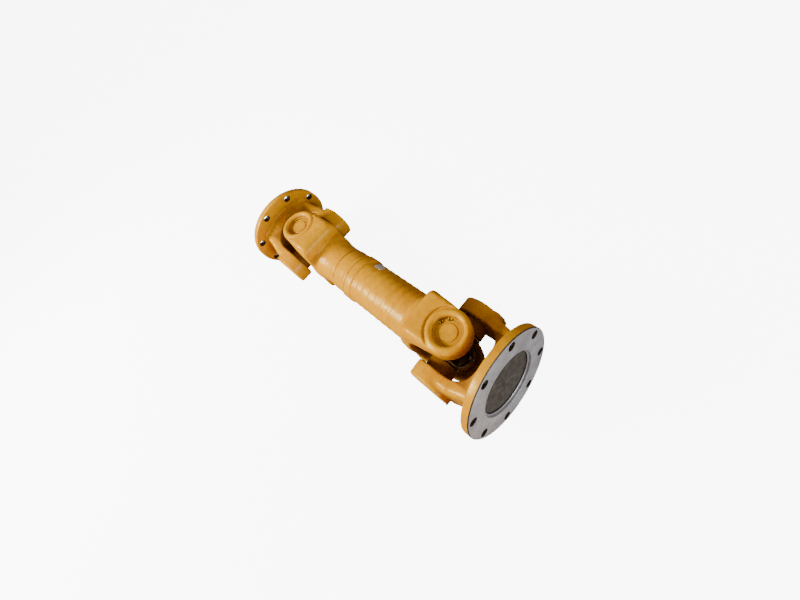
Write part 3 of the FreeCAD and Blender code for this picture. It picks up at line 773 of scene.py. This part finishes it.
def make_yokes():
    cast = flange_forging()
    disc = flange_disc()
    slots = [0] * len(cast[1]) + disc_slots(*disc)
    whole = together(cast, disc)
    for end in ("near", "far"):
        name = end + "_flange"
        new_piece(name + "_forging", *whole, YOKES[name], name, [name + "_yoke"], "yellow_paint",
                  [PAINT, FACED, RAW_FORGING, HOLE_STEEL], slots)
    sleeve = sleeve_forging()
    lining = internal_spline()
    slots = [0] * len(sleeve[1]) + [1] * len(lining[1])
    new_piece("sleeve_forging", *together(sleeve, lining), YOKES["near_sleeve"], "sleeve", ["sleeve_yoke"],
              "yellow_paint", [PAINT, SPLINE_STEEL], slots)
    neck = shaft_forging()
    splines = prism(spline_section(MINOR_RADIUS, MAJOR_RADIUS, TOOTH_HALF_WIDTH), TOOTH_RUN[0], TOOTH_RUN[1])
    core = lathe(softened([(NECK_END - 6, 0), (NECK_END - 6, MINOR_RADIUS), (SHAFT_TIP, MINOR_RADIUS, 3),
                           (SHAFT_TIP, 0)]))
    metal = together(splines, core)
    slots = [0] * len(neck[1]) + [1] * len(metal[1])
    new_piece("spline_shaft_forging", *together(neck, metal), YOKES["far_shaft"], "shaft",
              ["spline_shaft_yoke"], "yellow_paint", [PAINT, SPLINE_STEEL], slots)


# ---- bearings ------------------------------------------------------------------------------------
def cup_shape():
    """Drawn and ground cup, with its stepped end."""
    size = BORE_RADIUS + 0.12
    outline = [(CUP_MOUTH, RACE_RADIUS), (CUP_MOUTH, size, 1.0), (CUP_TOP, size, 1.6), (CUP_TOP, 18.2, 0.5),
               (CUP_TOP + 1.5, 16.8, 0.7), (CUP_TOP + 1.5, 0), (CUP_FLOOR, 0), (CUP_FLOOR, RACE_RADIUS, 1.0)]
    return lathe(softened(outline), 96, "Z")


def snap_ring_shape(turn):
    """Internal retaining ring with two lugs, its gap at an angle from +X."""
    half_gap = math.radians(12)
    count = 120
    low = CUP_TOP
    high = CUP_TOP + SNAP_THICKNESS
    section = ((low, 0.0), (low, 1.0), (high - 0.4, 1.0), (high, 0.93), (high, 0.07), (high - 0.4, 0.0))
    points = []
    for number in range(count + 1):
        part = number / count
        angle = turn + half_gap + (2 * math.pi - 2 * half_gap) * part
        from_end = min(part, 1 - part) * 2 * math.pi * 27
        lug = 4.6 * (1 - float(rise(np.float64(from_end), 6.5, 11)))
        inner = 26.6 - 1.1 * math.sin(math.pi * part) - lug
        for height, share in section:
            radius = inner + (GROOVE_RADIUS - inner) * share
            points.append((radius * math.cos(angle), radius * math.sin(angle), height))
    size = len(section)
    faces = [list(range(size)), list(range(count * size, (count + 1) * size))]
    for number in range(count):
        for corner in range(size):
            other = (corner + 1) % size
            faces.append([number * size + corner, number * size + other,
                          (number + 1) * size + other, (number + 1) * size + corner])
    shape = weld(points, faces)
    hole = lathe([(low - 1, 0), (low - 1, 1.25), (high + 1, 1.25), (high + 1, 0)], 20, "Z")
    cutters = []
    for side in (-1, 1):
        angle = turn + side * (half_gap + math.radians(6.5))
        spot = Vector((24.8 * math.cos(angle), 24.8 * math.sin(angle), 0))
        cutters.append((moved(hole[0], Matrix.Translation(spot)), hole[1]))
    return drill(*shape, cutters)


def make_bearings():
    cup = cup_shape()
    upper = snap_ring_shape(math.radians(-40))
    for name, place in YOKES.items():
        body = YOKE_BODY[name]
        lower_ring = (moved(upper[0], HALF_TURN), upper[1])
        rings = together(upper, lower_ring)
        slots = [1 if bare_lug(rings[0], loop) else 0 for loop in rings[1]]
        new_piece(name + "_retaining_rings", *rings, place, body, [name + "_snap_rings"],
                  "bearing_steel", [PAINT, OILY_STEEL], slots)
        for word, flip in zip(EAR_WORDS[name], (Matrix(), HALF_TURN)):
            slots = [1 if abs(points_mean(cup[0], loop)) < CUP_MOUTH + 3 else 0 for loop in cup[1]]
            new_piece(f"{name}_end_cap_{word}", *cup, place @ flip, body, [f"{name}_cup_{word}"],
                      "bearing_steel", [PAINT, BRIGHT_STEEL], slots)


def bare_lug(points, loop):
    """True for a face on the lugs of a retaining ring, where the paint has chipped off."""
    centre = sum((Vector(points[number]) for number in loop), Vector()) / len(loop)
    return math.hypot(centre.x, centre.y) < 25.6


def points_mean(points, loop):
    """Mean height of a face."""
    return sum(points[number][2] for number in loop) / len(loop)


# ---- crosses -------------------------------------------------------------------------------------
def four_ways(shape):
    """Shape on +Z repeated on -Z, +Y and -Y."""
    points, faces = shape
    quarters = [Matrix.Rotation(math.pi / 2 * turn, 4, "X") for turn in range(4)]
    return together(*((moved(points, quarter), faces) for quarter in quarters))


def nipple_shape():
    """Grease nipple on +Z: hexagon, neck and ball."""
    stem = lathe(softened([(-4, 0), (-4, 2.8), (4.6, 2.8, 0.4), (5.2, 2.1, 0.4), (8.4, 2.2, 0.6),
                           (9.6, 3.2, 0.8), (11.6, 2.4, 0.6), (12, 0.8, 0.1), (11.4, 0, 0)], 0.3), 32, "Z")
    hexagon = []
    for low, size in ((0, 4.9), (0.5, 5.4), (4.1, 5.4), (4.7, 4.9)):
        for corner in range(6):
            angle = math.pi / 3 * corner
            hexagon.append((size * math.cos(angle), size * math.sin(angle), low))
    faces = [list(range(6)), list(range(18, 24))]
    for ring in range(3):
        for corner in range(6):
            other = (corner + 1) % 6
            faces.append([ring * 6 + corner, ring * 6 + other, ring * 6 + 6 + other, ring * 6 + 6 + corner])
    return together(stem, weld(hexagon, faces))


def make_crosses():
    trunnion = lathe(softened([(18, 0), (18, 21.9), (34.9, 21.9, 0.8), (35.4, 17.9), (74.6, 17.9, 1.4),
                               (74.6, 5, 0.8), (70, 0)]), 72, "Z")
    guard = lathe(softened([(31.2, 22), (31.2, 29.2, 1.2), (34.8, 29.8, 0.9), (34.8, 28.3, 0.4),
                            (32.6, 27.6, 0.8), (32.6, 22.0)], 0.3), 96, "Z")
    heart = cross_heart()
    pins = four_ways(trunnion)
    slots = [0] * len(heart[1]) + [1] * len(pins[1])
    for end, centre, turn in (("near", NEAR, -math.pi / 2), ("far", FAR, math.pi / 2)):
        place = Matrix.Translation(centre)
        body = end + "_cross"
        new_piece(end + "_spider", *together(heart, pins), place, body, [end + "_cross"], "bearing_steel",
                  [OILY_STEEL, BRIGHT_STEEL], slots)
        new_piece(end + "_guard_rings", *four_ways(guard), place, body, [end + "_cross_seal_guards"],
                  "guard_steel", [GUARD_STEEL])
        lean = Matrix.Rotation(turn, 4, "Y") @ Matrix.Translation((0, 0, 32.5 * MM))
        new_piece(end + "_grease_fitting", *nipple_shape(), place @ lean, body,
                  [end + "_cross_grease_nipple"], "bearing_steel", [OILY_STEEL])


# ---- sleeve fittings -----------------------------------------------------------------------------
def label_shape(start=234, end=255, first=127, last=149, steps=12):
    """Thin curved plate with rounded corners that lies on the paint."""
    points = []
    for radius in (SLEEVE_RADIUS - 0.6, SLEEVE_RADIUS + 0.75):
        for row in range(steps + 1):
            part = row / steps
            inset = 2.5 * (2 * part - 1) ** 8
            for column in range(steps + 1):
                angle = math.radians(first + (last - first) * part)
                along = start + inset + (end - start - 2 * inset) * column / steps
                points.append((along, radius * math.cos(angle), radius * math.sin(angle)))
    wide = steps + 1
    layer = wide * wide
    faces = []
    for row in range(steps):
        for column in range(steps):
            corner = row * wide + column
            quad = (corner, corner + 1, corner + wide + 1, corner + wide)
            faces.extend([list(quad), [number + layer for number in quad]])
    border = list(range(wide)) + [row * wide + steps for row in range(1, wide)]
    border += [steps * wide + column for column in range(steps - 1, -1, -1)]
    border += [row * wide for row in range(steps - 1, 0, -1)]
    for number, corner in enumerate(border):
        other = border[(number + 1) % len(border)]
        faces.append([corner, other, other + layer, corner + layer])
    return weld(points, faces)


def make_fittings():
    cap = lathe(softened([(SLEEVE_END, 47.5), (SLEEVE_END, BEAD_RADIUS - 0.1, 1.0),
                          (296, BEAD_RADIUS - 0.1, 2.2), (300.5, SLEEVE_RADIUS, 2.4),
                          (GLAND_END, SLEEVE_RADIUS, 2.2), (GLAND_END, 51.5, 0.6),
                          (GLAND_END - 1.6, 50.4, 0.5), (GLAND_END - 1.6, CLEAR_RADIUS, 0.4),
                          (328, CLEAR_RADIUS), (328, 51), (318, 51), (318, CLEAR_RADIUS)], 0.5), 144)
    new_piece("dust_gland", *cap, YOKES["near_sleeve"], "sleeve", ["gland_cap"], "yellow_paint", [PAINT])
    new_piece("blank_film_label", *label_shape(), YOKES["near_sleeve"], "sleeve", ["blank_label"],
              "label_film", [FILM])
    place = YOKES["near_sleeve"] @ Matrix.Translation((215 * MM, 0, -54.3 * MM)) @ HALF_TURN
    new_piece("sleeve_grease_fitting", *nipple_shape(), place, "sleeve", ["sleeve_grease_nipple"],
              "bearing_steel", [ZINC])


def finish_cad_nodes():
    """Materials of the CAD parts that keep their own shapes."""
    finishes = {"wiper_seal": RUBBER, "sleeve_end_plug": OILY_STEEL}
    for name in YOKES:
        finishes[name + "_rollers"] = BRIGHT_STEEL
        finishes[name + "_seals"] = RUBBER
        finishes[name + "_thrust_washers"] = WASHER
    for name, material in finishes.items():
        for slot in bpy.data.objects[name].material_slots:
            slot.material = material


# ---- studio --------------------------------------------------------------------------------------
def area_light(name, place, target, size, power, colour=(1, 1, 1)):
    data = bpy.data.lights.new(name, "AREA")
    data.shape = "RECTANGLE"
    data.size, data.size_y = size
    data.energy = power
    data.color = colour
    lamp = bpy.data.objects.new(name, data)
    bpy.context.collection.objects.link(lamp)
    lamp.location = place
    lamp.rotation_euler = (Vector(place) - Vector(target)).to_track_quat("Z", "Y").to_euler()


def pale_ground():
    half = 60.0
    mesh = bpy.data.meshes.new("studio_floor")
    mesh.from_pydata([(-half, -half, 0), (half, -half, 0), (half, half, 0), (-half, half, 0)], [],
                     [(0, 1, 2, 3)])
    mesh.materials.append(floor_finish())
    floor = bpy.data.objects.new("studio_floor", mesh)
    bpy.context.collection.objects.link(floor)


def white_world():
    """Weak warm light all round, and a white background for the camera alone."""
    world = bpy.data.worlds.new("studio")
    world.use_nodes = True
    sky = world.node_tree.nodes["Background"]
    sky.inputs["Color"].default_value = (1.0, 0.8, 0.62, 1)
    sky.inputs["Strength"].default_value = 0.3
    backdrop = world.node_tree.nodes.new("ShaderNodeBackground")
    backdrop.inputs["Color"].default_value = (1, 1, 1, 1)
    backdrop.inputs["Strength"].default_value = 8.0
    chooser = world.node_tree.nodes.new("ShaderNodeMixShader")
    rays = world.node_tree.nodes.new("ShaderNodeLightPath")
    links = world.node_tree.links
    links.new(rays.outputs["Is Camera Ray"], chooser.inputs[0])
    links.new(sky.outputs["Background"], chooser.inputs[1])
    links.new(backdrop.outputs["Background"], chooser.inputs[2])
    surface = world.node_tree.nodes["World Output"].inputs["Surface"]
    links.new(chooser.outputs["Shader"], surface)
    bpy.context.scene.world = world


def lamps():
    centre = (0, 0, 0.1)
    area_light("key", (0.85, 1.35, 1.15), centre, (0.7, 0.7), 66, (1.0, 0.96, 0.88))
    area_light("flange_fill", (-1.9, 0.1, 0.5), centre, (1.0, 1.0), 34, (0.86, 0.92, 1.0))


def view_camera():
    data = bpy.data.cameras.new("camera")
    data.sensor_width = 36
    data.lens = 16.648
    data.shift_x = 0.00746
    data.shift_y = -0.06648
    camera = bpy.data.objects.new("camera", data)
    bpy.context.collection.objects.link(camera)
    camera.location = (-0.49286, 0.10818, 0.81601)
    camera.rotation_euler = [math.radians(angle) for angle in (34.431, 18.681, -137.418)]
    bpy.context.scene.camera = camera


make_yokes()
make_bearings()
make_crosses()
make_fittings()
finish_cad_nodes()
pale_ground()
white_world()
lamps()
view_camera()
